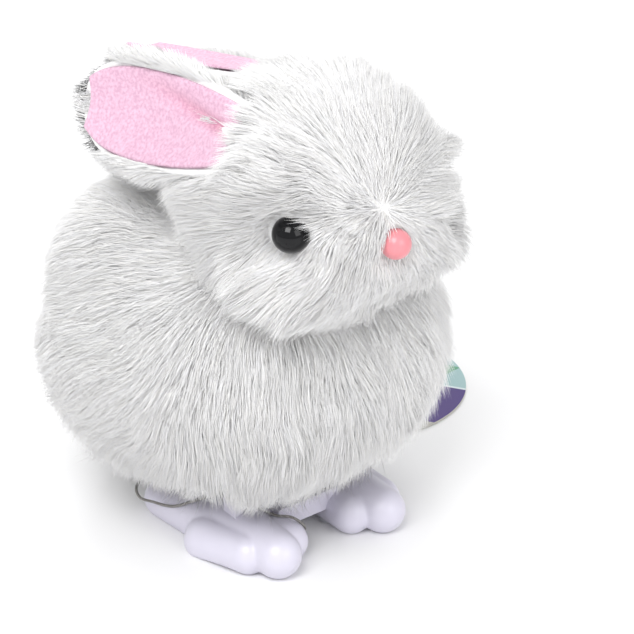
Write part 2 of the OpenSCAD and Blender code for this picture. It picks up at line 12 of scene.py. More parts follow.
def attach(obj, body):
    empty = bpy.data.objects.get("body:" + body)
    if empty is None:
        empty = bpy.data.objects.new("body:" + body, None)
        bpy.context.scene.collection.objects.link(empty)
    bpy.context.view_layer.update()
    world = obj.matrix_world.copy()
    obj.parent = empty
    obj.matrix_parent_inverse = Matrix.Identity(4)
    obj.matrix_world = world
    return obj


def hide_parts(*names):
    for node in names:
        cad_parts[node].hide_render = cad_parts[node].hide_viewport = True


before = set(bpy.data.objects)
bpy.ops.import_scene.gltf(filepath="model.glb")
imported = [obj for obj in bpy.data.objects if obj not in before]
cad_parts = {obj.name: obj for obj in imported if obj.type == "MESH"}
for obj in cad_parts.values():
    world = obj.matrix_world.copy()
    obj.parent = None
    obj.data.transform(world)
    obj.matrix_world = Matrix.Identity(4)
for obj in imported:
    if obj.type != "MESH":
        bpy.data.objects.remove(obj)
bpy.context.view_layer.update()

MM = 0.001
SEED = 7


# ---------------------------------------------------------------- helpers

def vec(*p):
    """A place in millimetres, as metres."""
    return np.array(p, float) * MM


def unit(v):
    return v / np.maximum(np.linalg.norm(v, axis=-1, keepdims=True), 1e-12)


def smoothstep(a, b, x):
    t = np.clip((x - a) / (b - a), 0, 1)
    return t * t * (3 - 2 * t)


def from_bmesh(name, bm, material, smooth=True):
    """A piece made of a bmesh, with one material or a list of them."""
    mesh = bpy.data.meshes.new(name)
    bm.to_mesh(mesh)
    bm.free()
    piece = bpy.data.objects.new(name, mesh)
    bpy.context.collection.objects.link(piece)
    for m in material if isinstance(material, (list, tuple)) else [material]:
        mesh.materials.append(m)
    mesh.polygons.foreach_set("use_smooth", [smooth] * len(mesh.polygons))
    return piece


def apply_modifier(piece, kind, **settings):
    modifier = piece.modifiers.new(kind.title(), kind)
    for key, value in settings.items():
        setattr(modifier, key, value)
    bpy.context.view_layer.objects.active = piece
    bpy.ops.object.select_all(action="DESELECT")
    piece.select_set(True)
    bpy.ops.object.modifier_apply(modifier=modifier.name)


# ---------------------------------------------------------------- camera

CAMERA_FAR = 450
AIM_ASIDE = 11


def set_camera():
    azimuth = math.radians(-38)
    elevation = math.radians(26)
    view = Vector((-math.sin(azimuth) * math.cos(elevation), math.cos(azimuth) * math.cos(elevation),
                   -math.sin(elevation)))
    right = Vector((math.cos(azimuth), math.sin(azimuth), 0))
    chest = Vector(vec(-8.3, -18.1, 52))
    camera = bpy.data.cameras.new("camera")
    camera.lens = 127.8
    camera.sensor_width = 36
    camera.clip_start = 0.01
    eye = bpy.data.objects.new("camera", camera)
    eye.location = chest - view * CAMERA_FAR * MM
    aim = chest + right * AIM_ASIDE * MM
    eye.rotation_euler = (aim - eye.location).to_track_quat("-Z", "Y").to_euler()
    bpy.context.collection.objects.link(eye)
    bpy.context.scene.camera = eye


# ---------------------------------------------------------------- materials

def shader(name, color, roughness=0.5, **inputs):
    """A Principled material; inputs are socket names with _ for spaces."""
    material = bpy.data.materials.new(name)
    material.use_nodes = True
    bsdf = material.node_tree.nodes["Principled BSDF"]
    bsdf.inputs["Base Color"].default_value = (*color, 1)
    bsdf.inputs["Roughness"].default_value = roughness
    for key, value in inputs.items():
        bsdf.inputs[key.replace("_", " ")].default_value = value
    return material


def add_node(material, kind, **settings):
    node = material.node_tree.nodes.new(kind)
    for key, value in settings.items():
        if key in node.inputs:
            node.inputs[key].default_value = value
        else:
            setattr(node, key, value)
    return node


def link(material, a, out, b, into):
    material.node_tree.links.new(a.outputs[out], b.inputs[into])


def add_grain(material, scale, strength, distance, colors=None, rough=None, stretch=None):
    """Noise for a material's bump and, where asked, its colour and roughness."""
    bsdf = material.node_tree.nodes["Principled BSDF"]
    coord = add_node(material, "ShaderNodeTexCoord")
    noise = add_node(material, "ShaderNodeTexNoise", Scale=scale, Detail=4)
    source = coord
    out = "Object"
    if stretch is not None:
        source = add_node(material, "ShaderNodeMapping", Scale=stretch)
        link(material, coord, "Object", source, "Vector")
        out = "Vector"
    link(material, source, out, noise, "Vector")
    bump = add_node(material, "ShaderNodeBump", Strength=strength, Distance=distance)
    link(material, noise, "Fac", bump, "Height")
    link(material, bump, "Normal", bsdf, "Normal")
    if colors is not None:
        ramp = add_node(material, "ShaderNodeValToRGB")
        for element, place, color in zip(ramp.color_ramp.elements, (0.38, 0.62), colors):
            element.position = place
            element.color = (*color, 1)
        link(material, noise, "Fac", ramp, "Fac")
        link(material, ramp, "Color", bsdf, "Base Color")
    if rough is not None:
        spread = add_node(material, "ShaderNodeMapRange")
        spread.inputs["To Min"].default_value = rough[0]
        spread.inputs["To Max"].default_value = rough[1]
        link(material, noise, "Fac", spread, "Value")
        link(material, spread, "Result", bsdf, "Roughness")
    return material


FUR_TONES = [(0.97, 0.965, 0.96), (0.94, 0.94, 0.955), (0.955, 0.945, 0.92), (0.87, 0.87, 0.89)]
FUR_SHARE = [0.5, 0.26, 0.18, 0.06]


def make_velour():
    """Pink pile with fine speckle; the fold colour attribute darkens the crease as painted shade."""
    velour = add_grain(shader("pink_velour", (0.7, 0.45, 0.58), 0.9, Sheen_Weight=0.15, Sheen_Roughness=0.5),
                       1500, 0.35, 0.0004, colors=((0.62, 0.37, 0.5), (0.76, 0.5, 0.63)))
    ramp = [n for n in velour.node_tree.nodes if n.type == "VALTORGB"][0]
    fold = add_node(velour, "ShaderNodeVertexColor", layer_name="fold")
    mix = add_node(velour, "ShaderNodeMix", data_type="RGBA", blend_type="MULTIPLY")
    mix.inputs["Factor"].default_value = 1
    link(velour, ramp, "Color", mix, 6)
    link(velour, fold, "Color", mix, 7)
    link(velour, mix, 2, velour.node_tree.nodes["Principled BSDF"], "Base Color")
    return velour


def metal(name, color, roughness, scale=900):
    return add_grain(shader(name, color, roughness, Metallic=1.0), scale, 0.06, 0.0001,
                     rough=(roughness * 0.8, roughness * 1.3), stretch=(1, 12, 1))


def plastic(name, color, roughness):
    return add_grain(shader(name, color, roughness), 420, 0.06, 0.0002,
                     rough=(roughness * 0.85, roughness * 1.15))


def make_materials():
    m = {"fur": [shader("fur_%d" % i, tone, 0.7, Sheen_Weight=0.25, Sheen_Roughness=0.5,
                        Specular_IOR_Level=0.2) for i, tone in enumerate(FUR_TONES)]}
    m["skin"] = add_grain(shader("plush_backing", (0.9, 0.895, 0.89), 0.9), 700, 0.5, 0.0004,
                          colors=((0.86, 0.86, 0.87), (0.94, 0.93, 0.92)))
    m["stuffing"] = add_grain(shader("polyester_fibre", (0.9, 0.9, 0.9), 0.95), 300, 0.8, 0.001,
                              colors=((0.8, 0.8, 0.81), (0.93, 0.93, 0.93)))
    m["velour"] = make_velour()
    m["eye"] = add_grain(shader("eye_black", (0.003, 0.003, 0.004), 0.06, Specular_IOR_Level=0.3),
                         60, 0.01, 0.0001)
    m["nose"] = add_grain(shader("nose_pink", (0.72, 0.24, 0.27), 0.3, Coat_Weight=0.2, Coat_Roughness=0.2),
                          300, 0.05, 0.0002)
    feet = shader("feet_satin", (0.63, 0.61, 0.71), 0.36, Coat_Weight=0.2, Coat_Roughness=0.25)
    m["feet"] = add_grain(feet, 240, 0.05, 0.0003, rough=(0.3, 0.42))
    m["elastic"] = add_grain(shader("elastic_grey", (0.2, 0.19, 0.18), 0.7), 4000, 0.4, 0.0001,
                             colors=((0.15, 0.14, 0.13), (0.28, 0.27, 0.26)))
    m["shell"] = plastic("shell_white", (0.78, 0.78, 0.8), 0.45)
    m["washer"] = plastic("washer_white", (0.7, 0.7, 0.71), 0.5)
    m["knob"] = plastic("knob_white", (0.8, 0.79, 0.83), 0.32)
    m["crank"] = plastic("crank_white", (0.8, 0.8, 0.79), 0.4)
    m["steel"] = metal("steel_turned", (0.62, 0.63, 0.65), 0.28)
    m["plate"] = metal("steel_plate", (0.66, 0.67, 0.69), 0.38)
    m["spring"] = metal("spring_blued", (0.16, 0.2, 0.3), 0.3)
    m["brass"] = metal("brass_cut", (0.78, 0.55, 0.22), 0.26)
    m["alloy"] = metal("flywheel_alloy", (0.7, 0.7, 0.72), 0.32)
    for key, color in (("card_teal", (0.33, 0.49, 0.5)), ("card_green", (0.1, 0.32, 0.19)),
                       ("card_pale", (0.62, 0.7, 0.72)), ("card_purple", (0.05, 0.02, 0.17)),
                       ("card_grey", (0.46, 0.45, 0.42))):
        m[key] = add_grain(shader(key, color, 0.35), 1200, 0.04, 0.0001)
    return m


NODE_LOOKS = {
    "eye": ["eye_right", "eye_left"],
    "nose": ["nose"],
    "washer": ["eye_washers", "nose_washer"],
    "feet": ["foot_yoke", "lift_arm_right", "lift_arm_left"],
    "shell": ["body_shell_right", "body_shell_left", "belly_plate", "neck_post"],
    "knob": ["winding_knob"],
    "crank": ["crank_right", "crank_left"],
    "steel": ["pivot_pin", "foot_screws", "shell_screws", "frame_screws", "motor_screws", "knob_screw",
              "winding_arbor", "ratchet_wheel", "pawl", "second_arbor", "crank_shaft", "governor_arbor"],
    "plate": ["frame_plate_right", "frame_plate_left"],
    "spring": ["mainspring", "click_spring"],
    "brass": ["great_wheel", "second_wheel", "crank_wheel", "frame_pillars"],
    "alloy": ["flywheel"],
    "elastic": ["tag_knot"],
}


def paint_nodes(m):
    for look, names in NODE_LOOKS.items():
        for name in names:
            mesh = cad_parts[name].data
            mesh.materials.clear()
            mesh.materials.append(m[look])
            mesh.polygons.foreach_set("material_index", [0] * len(mesh.polygons))


# ---------------------------------------------------------------- soft skins

HEAD_C = vec(0, -24, 82)
BODY_C = vec(0, -1, 40)
SHELL_C = vec(0, -1, 39.5)
SHELL_R = vec(33.7, 36.2, 28.7)
KNOB_YZ = vec(9, 33)
KNOB_START = 31 * MM
KNOB_HOLE = 8.7 * MM
KNOB_CLEAR = 8.3 * MM
KNOB_BARE = 9.2 * MM
BELLY_X = 24 * MM
BELLY_Y = vec(-23.5, 13)
BELLY_TOP = 24 * MM
CLOTH = 0.4 * MM
SHELL_GAP = 0.3 * MM
NOSE = vec(0, -48.6, 76.3)
EAR_SEAT = vec(-20, -16, 92)
EYE_SEAT = [vec(-17, -38.2, 79.5), vec(17, -38.2, 79.5)]
EYE_BARE = 3.9 * MM
EYE_CLEAR = 3.65 * MM
NOSE_BARE = 3.2 * MM
TAIL_C = vec(0, 40.5, 34)
TAIL_R = 6.5

HEAD_LUMPS = [
    (vec(0, 1, -0.8), vec(24, 22, 20)),
    (vec(0, -14.5, -7), vec(12.5, 9.5, 9)),
    (vec(-10.5, -11.5, -8.5), vec(12, 11, 10.5)),
    (vec(10.5, -11.5, -8.5), vec(12, 11, 10.5)),
    (vec(12.5, -9, -1), vec(10.5, 10, 8.5)),
    (vec(-14, -9, 3), vec(9, 8, 10)),
    (vec(0, 0, -12), vec(21, 19, 14)),
]
BODY_LUMPS = [
    (vec(0, 0, 0), vec(34.3, 36.8, 29.3)),
    (vec(13, -13, 2), vec(19, 21, 24)),
    (vec(-13, -13, 2), vec(18, 21, 24)),
    (vec(-16, 9, -4), vec(18.5, 25, 20)),
    (vec(16, 9, -4), vec(18.5, 25, 20)),
    (vec(-9, 16, 14), vec(20, 18, 15)),
    (vec(9, 16, 14), vec(20, 18, 15)),
]


def reach(dirs, centre, radii):
    """How far each ray from the origin runs before it leaves an ellipsoid, or 0 where it misses."""
    o = -centre / radii
    d = dirs / radii
    a = (d * d).sum(1)
    b = (d * o).sum(1)
    root = b * b - a * ((o * o).sum() - 1)
    t = (-b + np.sqrt(np.maximum(root, 0))) / a
    return np.where(root > 0, np.maximum(t, 0), 0)


def lumpy(lumps, dirs, blend=14):
    """Smooth union of ellipsoids, as a distance from the origin along each direction."""
    total = np.zeros(len(dirs))
    for centre, radii in lumps:
        total += reach(dirs, centre, radii) ** blend
    return total ** (1 / blend)


def dent(origin, dirs, radius, place, depth, inner, outer):
    """Pulls the skin in round a place, so that what sits there stands in the pile."""
    seat = place - origin
    far = np.linalg.norm(seat)
    off = np.linalg.norm(dirs * far - seat, axis=1)
    share = smoothstep(outer, inner, off)
    return radius * (1 - share) + np.minimum(radius, far - depth) * share


def ball(level):
    """A unit sphere and the direction of each of its vertices."""
    bm = bmesh.new()
    bmesh.ops.create_icosphere(bm, subdivisions=level, radius=1)
    return bm, unit(np.array([v.co[:] for v in bm.verts]))


def head_radius(dirs):
    radius = lumpy(HEAD_LUMPS, dirs)
    for seat in EYE_SEAT:
        radius = dent(HEAD_C, dirs, radius, seat, 0.4 * MM, 4.5 * MM, 9 * MM)
    radius = dent(HEAD_C, dirs, radius, EAR_SEAT, 2 * MM, 4 * MM, 10 * MM)
    return dent(HEAD_C, dirs, radius, NOSE, 1.2 * MM, 3.5 * MM, 7 * MM)


def ride_as(piece, body, slot, *nodes):
    """Attaches a piece to its body and hides the CAD nodes that it stands for; the slot argument is not used.
    """
    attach(piece, body)
    if nodes:
        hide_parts(*nodes)
    return piece


def make_head(m):
    bm, dirs = ball(6)
    for v, p in zip(bm.verts, HEAD_C + dirs * head_radius(dirs)[:, None]):
        v.co = p
    skin = ride_as(from_bmesh("head_cloth", bm, m["skin"]), "rabbit", "fur", "head_skin")
    bm, dirs = ball(5)
    lump = Waves(np.random.default_rng(SEED + 5), 14 * MM)
    for v, d in zip(bm.verts, dirs):
        p = d * vec(22, 20.5, 19)
        v.co = HEAD_C + p * (1 + 0.02 * float(lump(p[None])[0]))
    ride_as(from_bmesh("head_filling", bm, m["stuffing"]), "rabbit", "stuffing", "head_stuffing")
    return skin


def make_body(m):
    bm, dirs = ball(6)
    inner = reach(dirs, SHELL_C - BODY_C, SHELL_R)
    radius = np.maximum(lumpy(BODY_LUMPS, dirs), inner + SHELL_GAP)
    for v, p in zip(bm.verts, BODY_C + dirs * radius[:, None]):
        v.co = p
    gone = []
    for face in bm.faces:
        c = face.calc_center_median()
        belly = abs(c.x) < BELLY_X and BELLY_Y[0] < c.y < BELLY_Y[1] and c.z < BELLY_TOP
        knob = c.x > 0 and math.dist((c.y, c.z), KNOB_YZ) < KNOB_HOLE
        if belly or knob:
            gone.append(face)
    bmesh.ops.delete(bm, geom=gone, context="FACES")
    skin = from_bmesh("body_cloth", bm, m["skin"])
    apply_modifier(skin, "SOLIDIFY", thickness=CLOTH, offset=-1)
    return ride_as(skin, "rabbit", "fur", "body_skin")


# ---------------------------------------------------------------- fur

class Waves:
    """Smooth repeatable noise: a few crossed sine waves."""

    def __init__(self, rng, size, count=6):
        self.k = unit(rng.normal(size=(count, 3))) * (2 * math.pi / size) * rng.uniform(0.7, 1.4, (count, 1))
        self.phase = rng.uniform(0, 2 * math.pi, count)

    def __call__(self, p):
        return np.sin(p @ self.k.T + self.phase).mean(1) * 1.6


def mesh_arrays(piece):
    """A mesh as arrays: triangles, vertex places and vertex normals."""
    mesh = piece.data
    mesh.calc_loop_triangles()
    tri = np.empty(len(mesh.loop_triangles) * 3, np.int32)
    mesh.loop_triangles.foreach_get("vertices", tri)
    co = np.empty(len(mesh.vertices) * 3)
    mesh.vertices.foreach_get("co", co)
    no = np.empty(len(mesh.vertices) * 3)
    mesh.vertices.foreach_get("normal", no)
    return tri.reshape(-1, 3), co.reshape(-1, 3), no.reshape(-1, 3)


def scatter(piece, count, rng, keep):
    """Random roots on a mesh where keep allows them: places and smooth normals."""
    tri, co, no = mesh_arrays(piece)
    a, b, c = co[tri[:, 0]], co[tri[:, 1]], co[tri[:, 2]]
    area = np.linalg.norm(np.cross(b - a, c - a), axis=1)
    area = area * keep(co[tri].mean(1), unit(no[tri].mean(1)))
    pick = rng.choice(len(tri), size=count, p=area / area.sum())
    u = rng.random((count, 2))
    u = np.where(u.sum(1, keepdims=True) > 1, 1 - u, u)
    w = np.concatenate([1 - u.sum(1, keepdims=True), u], 1)[:, :, None]
    return (co[tri[pick]] * w).sum(1), unit((no[tri[pick]] * w).sum(1))


def foot_gap(p):
    """Signed gap from points to the feet, and the way out."""
    best = np.full(len(p), 1.0)
    out = np.zeros_like(p)
    for sign in (-1, 1):
        for front, fr, rear, rr in FOOT_LOBES:
            a = vec(*front) * (-sign, 1, 1)
            b = vec(*rear) * (-sign, 1, 1)
            t = np.clip(((p - a) @ (b - a)) / ((b - a) @ (b - a)), 0, 1)
            away = p - (a + (b - a) * t[:, None])
            gap = np.linalg.norm(away, axis=1) - (fr + (rr - fr) * t) * MM
            near = gap < best
            best = np.where(near, gap, best)
            out[near] = unit(away)[near]
    return best, out


HOP = math.radians(11)
HOP_YZ = vec(6, 14)
ARM_LOW = vec(14.9, -19.5, 4.2)
ARM_HIGH = vec(16.9, -15.5, 30)
ARM_CLEAR = 0.4 * MM
FOOT_CLEAR = 0.15 * MM


def hopped(p):
    """Where points of the rabbit are at the end of its hop."""
    y, z = (p[:, 1:] - HOP_YZ).T
    out = p.copy()
    out[:, 1] = HOP_YZ[0] + y * math.cos(HOP) + z * math.sin(HOP)
    out[:, 2] = HOP_YZ[1] - y * math.sin(HOP) + z * math.cos(HOP)
    return out


def clear_of_feet(p):
    """True where a point keeps out of the feet and lift arms, standing and at full hop."""
    ok = np.ones(len(p), bool)
    for q in (p, hopped(p)):
        side = q.copy()
        side[:, 0] = np.abs(side[:, 0])
        arm = ((side > ARM_LOW - ARM_CLEAR) & (side < ARM_HIGH + ARM_CLEAR)).all(1)
        ok &= (foot_gap(q)[0] > FOOT_CLEAR) & ~arm & (q[:, 2] > 0.3 * MM)
    return ok


def lift_off_feet(p):
    """Pushes points that would enter a foot out of it."""
    for _ in range(3):
        gap, out = foot_gap(p)
        p = p + out * np.maximum(0.45 * MM - gap, 0)[:, None]
    return p


def strands(name, roots, normals, flow, rng, materials, length, width=0.13 * MM, lift=(0.75, 0.3),
            clump=0.3, clump_count=2000, droop=0.0, over_feet=False, clear=()):
    """Fine tapered hairs in clumps on the rabbit; length and flow are functions of the root."""
    n = len(roots)
    scale = length(roots) * rng.uniform(0.7, 1.12, n) * (1 + 0.12 * Waves(rng, 6 * MM)(roots))
    along = flow(roots, normals)
    along = unit(along - (along * normals).sum(1, keepdims=True) * normals)
    side = np.cross(normals, along)
    sway = Waves(rng, 11 * MM)(roots) * 0.4 + Waves(rng, 4 * MM)(roots) * 0.22 + rng.normal(0, 0.12, n)
    along = unit(along + side * sway[:, None])
    rise = 1 + 0.4 * Waves(rng, 5 * MM)(roots) + rng.normal(0, 0.22, n)
    fall = np.array([0, 0, -droop])
    mid = roots + unit(along + normals * (lift[0] * rise)[:, None]) * (scale * 0.5)[:, None]
    tip = mid + unit(along + normals * (lift[1] * rise)[:, None] + fall) * (scale * 0.5)[:, None]
    heads = rng.choice(n, size=min(clump_count, n), replace=False)
    tree = KDTree(len(heads))
    for i, h in enumerate(heads):
        tree.insert(mid[h], i)
    tree.balance()
    nearest = np.array([heads[tree.find(p)[1]] for p in mid])
    pull = (clump * rng.uniform(0.3, 1.0, n))[:, None]
    tip = tip + (tip[nearest] - tip) * pull
    mid = mid + (mid[nearest] - mid) * pull * 0.35
    if over_feet:
        mid = lift_off_feet(mid)
        tip = lift_off_feet(tip)
    good = (tip[:, 2] > 0.6 * MM) & (mid[:, 2] > 0.6 * MM)
    if over_feet:
        clear = list(clear) + [clear_of_feet]
    for test in clear:
        good &= test(mid) & test(tip) & test((mid + tip) / 2) & test((roots + mid) / 2)
    build_hairs(name, roots[good], mid[good], tip[good], normals[good],
                width * rng.uniform(0.7, 1.2, good.sum()), rng, materials)


QUADS = np.array([[0, 1, 4, 3], [1, 2, 5, 4], [2, 0, 3, 5]])
TRIS = np.array([[3, 4, 6], [4, 5, 6], [5, 3, 6], [2, 1, 0]])
HAIRS_A_PIECE = 18000
LEAN_SHARE = 0.15


def build_hairs(name, roots, mid, tip, normals, width, rng, materials):
    """Each hair is a closed three-sided spike with a bend, shaded like the skin it grows from."""
    n = len(roots)
    tone = rng.choice(len(materials), size=n, p=FUR_SHARE)
    parts = max(1, math.ceil(n / HAIRS_A_PIECE))
    for part in range(parts):
        s = slice(part * n // parts, (part + 1) * n // parts)
        count = len(roots[s])
        rings = []
        for centre, ahead, size in ((roots[s], mid[s] - roots[s], 0.5), (mid[s], tip[s] - roots[s], 0.42)):
            t = unit(ahead)
            a = unit(np.cross(t, normals[s]))
            b = np.cross(t, a)
            for k in range(3):
                angle = 2 * math.pi * k / 3 + math.pi / 6
                spoke = a * math.cos(angle) + b * math.sin(angle)
                rings.append(centre + spoke * (width[s] * size)[:, None])
        verts = np.stack(rings + [tip[s]], 1)
        lean = unit(verts - np.stack([roots[s]] * 3 + [mid[s]] * 4, 1))
        shade = unit(normals[s][:, None] + lean * LEAN_SHARE)
        base = (np.arange(count) * 7)[:, None]
        loops = np.concatenate([base + QUADS.reshape(1, -1), base + TRIS.reshape(1, -1)], 1).reshape(-1)
        totals = np.tile([4, 4, 4, 3, 3, 3, 3], count)
        mesh = bpy.data.meshes.new("%s_%d" % (name, part + 1))
        mesh.vertices.add(count * 7)
        mesh.vertices.foreach_set("co", verts.astype(np.float32).reshape(-1))
        mesh.loops.add(len(loops))
        mesh.loops.foreach_set("vertex_index", loops.astype(np.int32))
        mesh.polygons.add(len(totals))
        starts = np.concatenate([[0], np.cumsum(totals)[:-1]])
        mesh.polygons.foreach_set("loop_start", starts.astype(np.int32))
        mesh.polygons.foreach_set("material_index", np.repeat(tone[s], 7).astype(np.int32))
        mesh.polygons.foreach_set("use_smooth", np.ones(len(totals), bool))
        mesh.update(calc_edges=True)
        mesh.normals_split_custom_set_from_vertices(shade.reshape(-1, 3).astype(np.float32))
        for m in materials:
            mesh.materials.append(m)
        piece = bpy.data.objects.new(mesh.name, mesh)
        bpy.context.collection.objects.link(piece)
        ride_as(piece, "rabbit", "fur")


DENSITY = 1.0


def many(n):
    return int(n * DENSITY)


def clear_of(centre, radius):
    return lambda p: np.linalg.norm(p - centre, axis=1) > radius


def clear_of_knob(p):
    return (p[:, 0] < KNOB_START) | (np.linalg.norm(p[:, 1:] - KNOB_YZ, axis=1) > KNOB_CLEAR)


FACE_CLEAR = [clear_of(seat, EYE_CLEAR) for seat in EYE_SEAT] + [clear_of(NOSE, NOSE_BARE)]


def clear_of_ear(side):
    """Keeps fur out of the cup in front of an ear's lining."""
    spec = EARS[side]

    def test(p):
        root, run, w, n = ear_axes(spec, np.array(0.4))
        q = p - root
        u = q @ run / (run @ run)
        inside = (u > 0.05) & (u < 1) & (np.abs(q @ w) < 0.8 * EAR_HALF)
        return ~(inside & (q @ n > -0.5 * MM) & (q @ n < 9 * MM))

    return test


def head_flow(p, n):
    """Fur lies back from the nose and down over the lower face."""
    away = unit(p - (NOSE + vec(0, 5, 5)))
    low = smoothstep(8 * MM, -8 * MM, p[:, 2] - HEAD_C[2])
    away[:, 2] -= 0.5 * low
    away[:, 0] += np.tanh(p[:, 0] / (8 * MM)) * 0.2
    for seat in EYE_SEAT:
        off = p - seat
        far = np.linalg.norm(off, axis=1)
        away += unit(off) * (0.4 * smoothstep(9 * MM, 3 * MM, far))[:, None]
    return away


def fur_head(skin, m):
    rng = np.random.default_rng(SEED)

    def keep(p, n):
        ok = np.ones(len(p))
        for seat in EYE_SEAT:
            ok *= np.linalg.norm(p - seat, axis=1) > EYE_BARE
        ok *= np.linalg.norm(p - NOSE, axis=1) > NOSE_BARE
        deep = (((p - BODY_C) / vec(32, 34, 27)) ** 2).sum(1) > 1
        return ok * deep

    def length(p):
        near_nose = np.linalg.norm(p - NOSE, axis=1)
        size = 4.2 + 4.3 * smoothstep(5 * MM, 22 * MM, near_nose)
        for seat in EYE_SEAT:
            size = size * (0.55 + 0.45 * smoothstep(4 * MM, 11 * MM, np.linalg.norm(p - seat, axis=1)))
        cheek = smoothstep(14 * MM, 4 * MM, np.linalg.norm(np.abs(p) - vec(19, 36, 72), axis=1))
        return (size + 2.5 * cheek) * MM

    roots, normals = scatter(skin, many(105000), rng, keep)
    strands("fur_head", roots, normals, head_flow, rng, m["fur"], length, clump_count=many(14000),
            clear=FACE_CLEAR + [clear_of_ear("right"), clear_of_ear("left")])

    def lash(p, n):
        near = np.min([np.linalg.norm(p - seat, axis=1) for seat in EYE_SEAT], axis=0)
        return ((near > EYE_BARE) & (near < 5 * MM)).astype(float)

    def inward(p, n):
        seat = np.where(p[:, :1] < 0, EYE_SEAT[0], EYE_SEAT[1])
        return unit(seat - p)

    roots, normals = scatter(skin, many(2400), rng, lash)
    strands("fur_lash", roots, normals, inward, rng, m["fur"], lambda p: np.full(len(p), 3.2) * MM,
            lift=(1.5, 0.6), clump_count=many(500), clear=FACE_CLEAR)

    def beside(p, n):
        return smoothstep(4 * MM, 1 * MM, np.linalg.norm((p - vec(10.5, -43.5, 81)) * (1, 1, 0.6), axis=1))

    def above(p, n):
        return smoothstep(7 * MM, 2 * MM, np.linalg.norm(p - vec(18, -37, 85), axis=1))

    def outward(p, n):
        return np.array([0.8, -0.35, 0]) + unit(p - HEAD_C) * 0.2

    for name, spot, count, size, lift in (("fur_cheek", beside, 4200, 7.5, (2.4, 1.6)),
                                          ("fur_brow", above, 1700, 8.5, (0.9, 0.6))):
        roots, normals = scatter(skin, many(count), rng, spot)
        strands(name, roots, normals, outward, rng, m["fur"], lambda p: np.full(len(p), size) * MM,
                lift=lift, clump_count=many(count // 8), clear=FACE_CLEAR)


def body_flow(p, n):
    """Fur lies back along the flanks and hangs down the chest."""
    way = np.zeros_like(p)
    front = smoothstep(-8 * MM, -28 * MM, p[:, 1])
    low = smoothstep(34 * MM, 18 * MM, p[:, 2])
    way[:, 1] = (0.85 - 0.85 * front) * (1 - 0.7 * low)
    way[:, 2] = -0.5 - 0.6 * front - 0.5 * low
    way[:, 0] = np.tanh(p[:, 0] / (10 * MM)) * 0.15
    return way


def fur_body(skin, m):
    rng = np.random.default_rng(SEED + 1)

    def keep(p, n):
        outside = (n * (p - BODY_C)).sum(1) > 0
        bare = (((p - HEAD_C) / vec(23, 21, 19)) ** 2).sum(1) < 1
        knob = (p[:, 0] > 0) & (np.linalg.norm(p[:, 1:] - KNOB_YZ, axis=1) < KNOB_BARE)
        return (outside & ~bare & ~knob).astype(float)

    def length(p):
        low = smoothstep(26 * MM, 17 * MM, p[:, 2])
        chest = smoothstep(-20 * MM, -32 * MM, p[:, 1])
        return (8.6 + 1.2 * low + 1.0 * chest) * MM

    roots, normals = scatter(skin, many(140000), rng, keep)
    strands("fur_body", roots, normals, body_flow, rng, m["fur"], length, clump_count=many(11000),
            droop=0.25, over_feet=True, clear=[clear_of_knob])

    def rim(p, n):
        ends = np.maximum(BELLY_Y[0] - p[:, 1], p[:, 1] - BELLY_Y[1])
        edge = np.maximum(np.abs(p[:, 0]) - BELLY_X, ends)
        return ((edge < 3 * MM) & (p[:, 2] < BELLY_TOP) & (n[:, 2] < 0)).astype(float)

    def hang(p, n):
        way = np.zeros_like(p)
        way[:, 2] = -1
        way[:, :2] = -p[:, :2] / np.linalg.norm(p[:, :2], axis=1, keepdims=True) * 0.35
        return way

    roots, normals = scatter(skin, many(14000), rng, rim)
    strands("fur_fringe", roots, normals, hang, rng, m["fur"], lambda p: np.full(len(p), 8.5) * MM,
            lift=(0.5, 0.1), clump_count=many(1500), droop=1.2, over_feet=True)


def make_tail(m):
    bm, dirs = ball(4)
    for v, d in zip(bm.verts, dirs):
        v.co = TAIL_C + d * TAIL_R * MM
    skin = ride_as(from_bmesh("tail_cloth", bm, m["skin"]), "rabbit", "fur", "tail")
    rng = np.random.default_rng(SEED + 2)

    def outside(p, n):
        return ((((p - BODY_C) / vec(34, 36, 29)) ** 2).sum(1) > 1).astype(float)

    def flow(p, n):
        return unit(p - TAIL_C) + np.array([0, 0.5, -0.6])

    roots, normals = scatter(skin, many(9000), rng, outside)
    strands("fur_tail", roots, normals, flow, rng, m["fur"], lambda p: np.full(len(p), 7.0) * MM,
            lift=(1.6, 0.9), clump_count=many(800))


# ---------------------------------------------------------------- ears

EARS = {
    "right": {"root": (-17.5, -23.5, 94), "tip": (-22.7, 21.6, 90.4), "lean": (36, 14), "side": -1,
              "root_w": 0.66, "crease": 1.7, "near_cup": 1.0},
    "left": {"root": (11.3, -9.2, 95.8), "tip": (2.6, 39.6, 91.8), "lean": (-70, -70), "side": 1,
             "root_w": 0.5, "crease": 0.5, "near_cup": 0.1},
}
EAR_HALF = 11.2 * MM
DEEPEST_CREASE = 1.7


def ear_axes(spec, u):
    """Root, way to the tip, and the across and outward directions at each u."""
    root = vec(*spec["root"])
    run = vec(*spec["tip"]) - root
    d = unit(run)
    lean = np.radians(spec["lean"][0] + (spec["lean"][1] - spec["lean"][0]) * u)
    w = np.stack([np.sin(lean), np.zeros_like(u), np.cos(lean)], -1)
    w = unit(w - (w @ d)[..., None] * d)
    n = np.cross(np.broadcast_to(d, w.shape), w) * -spec["side"]
    return root, run, w, n * np.sign(n[..., :1] * spec["side"])


def crease_line(u):
    return 0.05 + 0.9 * u


